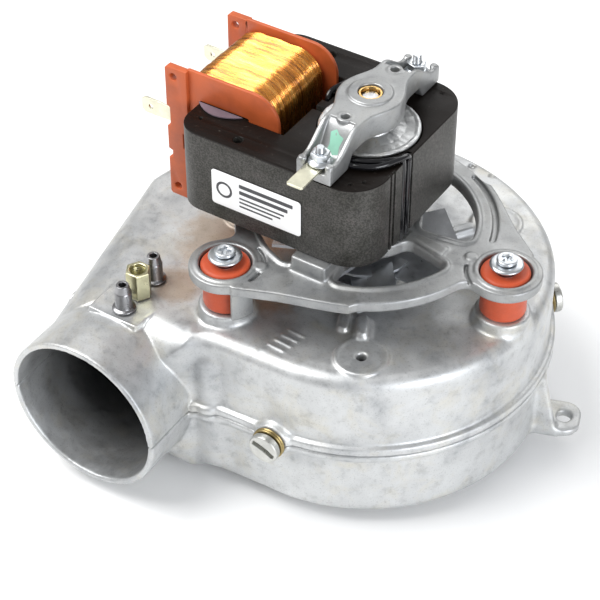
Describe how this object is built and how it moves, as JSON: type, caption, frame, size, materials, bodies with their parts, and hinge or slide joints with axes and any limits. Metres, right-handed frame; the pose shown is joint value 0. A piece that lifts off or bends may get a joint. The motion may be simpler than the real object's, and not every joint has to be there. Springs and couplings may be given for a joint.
{
  "type": "combustion fan",
  "caption": "Cast volute blower with a round side outlet, driven by an open-frame motor on a bracket over rubber mounts.",
  "frame": {"origin": "middle of the assembly's box in X and Y, on the plane that the inlet ring stands on", "axes": "+Z along the rotor axis from the inlet to the motor; -Y is the way that air leaves the outlet tube; +X completes the right-handed set"},
  "size_m": [0.1844, 0.1776, 0.1399],
  "materials": {
    "cast_aluminium": "as cast, satin with faint marks",
    "clamp_brass": "dull machined",
    "zinc_steel": "bright zinc plating",
    "yellow_zinc": "yellow passivated zinc",
    "rubber": "matte silicone rubber",
    "lamination": "stacked sheet, thin dark varnish",
    "bobbin_plastic": "moulded glass-filled plastic",
    "copper": "enamelled copper wire",
    "lining": "varnished lining",
    "tinned_brass": "tinned, bright",
    "lacquer": "black lacquered wire",
    "label_paper": "semi-gloss printed film",
    "bearing_bronze": "sintered bearing bronze",
    "sheet_aluminium": "rolled sheet",
    "shaft_steel": "ground",
    "rotor_aluminium": "cast, rough"
  },
  "bodies": {
    "housing": {"upper_shell": "cast_aluminium", "lower_shell": "cast_aluminium", "clamp_washer_1": "clamp_brass", "clamp_screw_1": "zinc_steel", "clamp_washer_2": "clamp_brass", "clamp_screw_2": "zinc_steel", "clamp_washer_3": "clamp_brass", "clamp_screw_3": "zinc_steel", "pressure_tap_front": "zinc_steel", "tap_standoff": "yellow_zinc", "pressure_tap_rear": "zinc_steel", "spider_bracket": "cast_aluminium", "grommet_1": "rubber", "grommet_sleeve_1": "zinc_steel", "grommet_washer_1": "zinc_steel", "grommet_screw_1": "zinc_steel", "grommet_2": "rubber", "grommet_sleeve_2": "zinc_steel", "grommet_washer_2": "zinc_steel", "grommet_screw_2": "zinc_steel", "grommet_3": "rubber", "grommet_sleeve_3": "zinc_steel", "grommet_washer_3": "zinc_steel", "grommet_screw_3": "zinc_steel", "stator_stack": "lamination", "bobbin": "bobbin_plastic", "coil": "copper", "coil_liner": "lining", "spade_terminal_front": "tinned_brass", "spade_terminal_rear": "tinned_brass", "shading_ring_front": "lacquer", "shading_ring_rear": "lacquer", "label": "label_paper", "bearing_bridge": "cast_aluminium", "bridge_bolt_front": "zinc_steel", "bridge_bolt_rear": "zinc_steel", "earth_tag": "tinned_brass", "upper_bush": "bearing_bronze", "lower_bush": "bearing_bronze", "bush_retainer": "zinc_steel", "shaft_seal_disc": "sheet_aluminium"},
    "rotor": {"shaft": "shaft_steel", "rotor_core": "lamination", "rotor_end_ring_upper": "rotor_aluminium", "rotor_end_ring_lower": "rotor_aluminium", "thrust_washer_upper": "lining", "thrust_washer_lower": "lining", "cooling_fan": "sheet_aluminium", "impeller": "sheet_aluminium", "impeller_nut": "zinc_steel"}
  },
  "joints": [
    {"name": "rotor_spin", "type": "hinge", "parent": "housing", "child": "rotor", "pos_m": [0.0146, 0.00077, 0.09], "axis": [0, 0, 1], "continuous": true}
  ]
}
